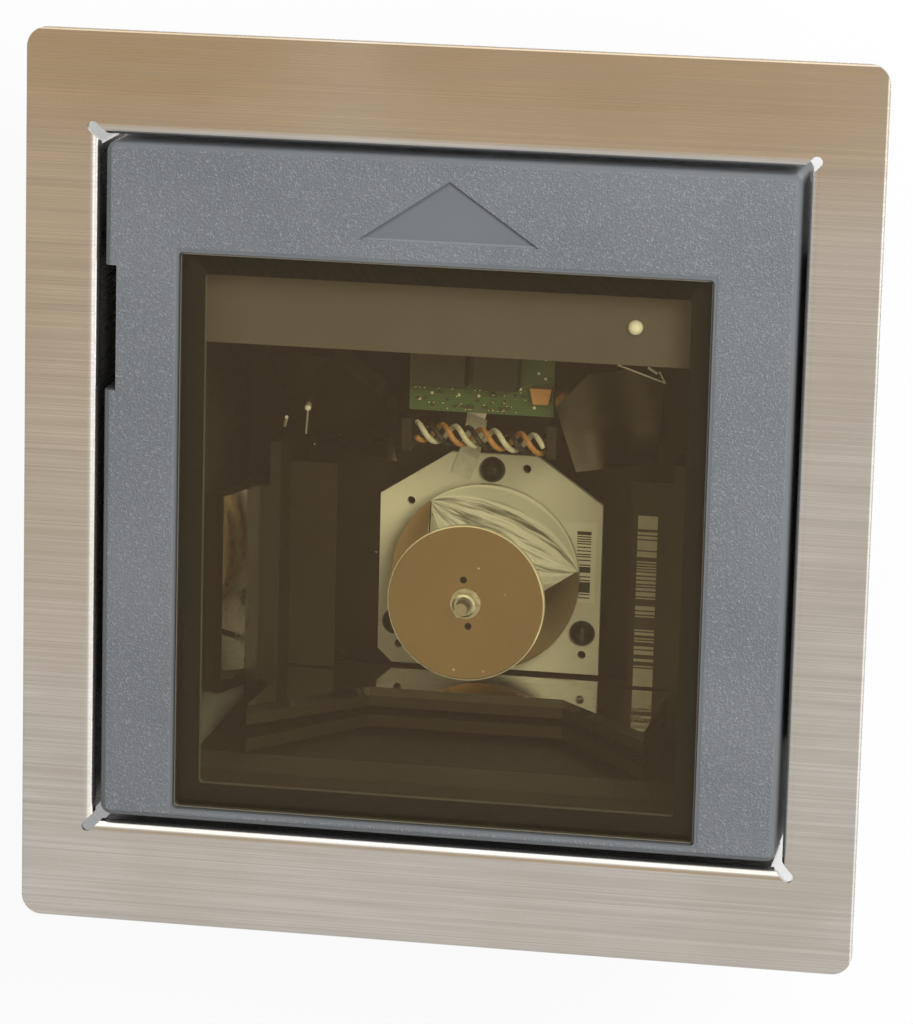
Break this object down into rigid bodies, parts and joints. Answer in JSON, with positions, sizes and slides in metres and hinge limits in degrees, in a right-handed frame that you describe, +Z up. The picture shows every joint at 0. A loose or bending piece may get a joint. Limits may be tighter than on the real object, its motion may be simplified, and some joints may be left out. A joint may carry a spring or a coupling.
{
  "type": "in-counter barcode scanner",
  "caption": "Square in-counter laser barcode scanner with a tinted flat window and a spinning three-sided mirror, seated in a folded stainless counter frame.",
  "frame": {"origin": "middle of the flat underside of the bottom housing, which the scanner stands on", "axes": "+Z up, out of the window; +Y along the flange's long side, towards the arrow on the cover; +X to the right seen from above"},
  "size_m": [0.188, 0.201, 0.098],
  "materials": {
    "frame_steel": "horizontally brushed stainless sheet",
    "cover_plastic": "fine spark-textured grey plastic with smooth rounded edges",
    "tinted_glass": "brown tinted glass with polished edges",
    "black_foam": "black adhesive foam",
    "housing_plastic": "black moulded plastic",
    "screw_steel": "zinc-plated steel",
    "chassis_plastic": "black moulded plastic",
    "shroud_paint": "grey-khaki paint, satin",
    "lens_clear": "clear polished dome",
    "led_white": "white light-emitting package",
    "board_green": "green solder mask",
    "connector_black": "black moulded connector",
    "capacitor_orange": "orange resin",
    "laser_brass": "turned brass",
    "bracket_alloy": "milled alloy",
    "mirror_silver": "front-surface mirror glass",
    "cable_gray": "grey flat cable",
    "lead_white": "white insulation",
    "lead_orange": "orange insulation",
    "lead_black": "black insulation",
    "ribbon_white": "white flat ribbon",
    "plate_white": "light satin-painted steel plate",
    "isolator_rubber": "glossy black rubber",
    "sleeve_bronze": "sintered bronze",
    "stator_steel": "laminated steel",
    "coil_copper": "enamelled copper wire",
    "rotor_steel": "polished pressed steel",
    "magnet_dark": "bonded magnet",
    "shaft_steel": "ground steel",
    "core_plastic": "dark moulded plastic",
    "cap_tan": "warm tan satin-metallic face"
  },
  "bodies": {
    "scanner": {"mounting_frame": "frame_steel", "top_cover": "cover_plastic", "window_glass": "tinted_glass", "window_tape": "black_foam", "bottom_housing": "housing_plastic", "housing_screws": "screw_steel", "optics_chassis": "chassis_plastic", "chassis_screws": "screw_steel", "electronics_cover": "shroud_paint", "status_lens": "lens_clear", "status_led": "led_white", "status_board": "board_green", "main_board": "board_green", "motor_connector": "connector_black", "sensor_connector": "connector_black", "capacitor": "capacitor_orange", "photodiode": "connector_black", "laser_module": "laser_brass", "laser_bracket": "bracket_alloy", "collecting_mirror": "mirror_silver", "interface_board": "board_green", "data_port": "connector_black", "power_port": "connector_black", "link_cable": "cable_gray", "beeper": "connector_black", "lead_white": "lead_white", "lead_orange": "lead_orange", "lead_black": "lead_black", "motor_ribbon": "ribbon_white", "east_mirror": "mirror_silver", "west_mirror": "mirror_silver", "rear_right_mirror": "mirror_silver", "rear_left_mirror": "mirror_silver", "front_mirror": "mirror_silver", "motor_plate": "plate_white", "isolator_1": "isolator_rubber", "isolator_2": "isolator_rubber", "isolator_3": "isolator_rubber", "bearing_sleeve": "sleeve_bronze", "thrust_cap": "screw_steel", "stator_core": "stator_steel", "coil_1": "coil_copper", "coil_2": "coil_copper", "coil_3": "coil_copper", "coil_4": "coil_copper", "coil_5": "coil_copper", "coil_6": "coil_copper"},
    "spinner": {"rotor_cup": "rotor_steel", "rotor_magnet": "magnet_dark", "spinner_shaft": "shaft_steel", "spinner_core": "core_plastic", "facet_mirror_1": "mirror_silver", "facet_mirror_2": "mirror_silver", "facet_mirror_3": "mirror_silver", "spinner_cap": "cap_tan", "spinner_washer": "screw_steel", "spinner_nut": "screw_steel"}
  },
  "joints": [
    {"name": "spinner_spin", "type": "hinge", "parent": "scanner", "child": "spinner", "pos_m": [0.0005, -0.03, 0.038], "axis": [0, 0, 1], "continuous": true}
  ]
}
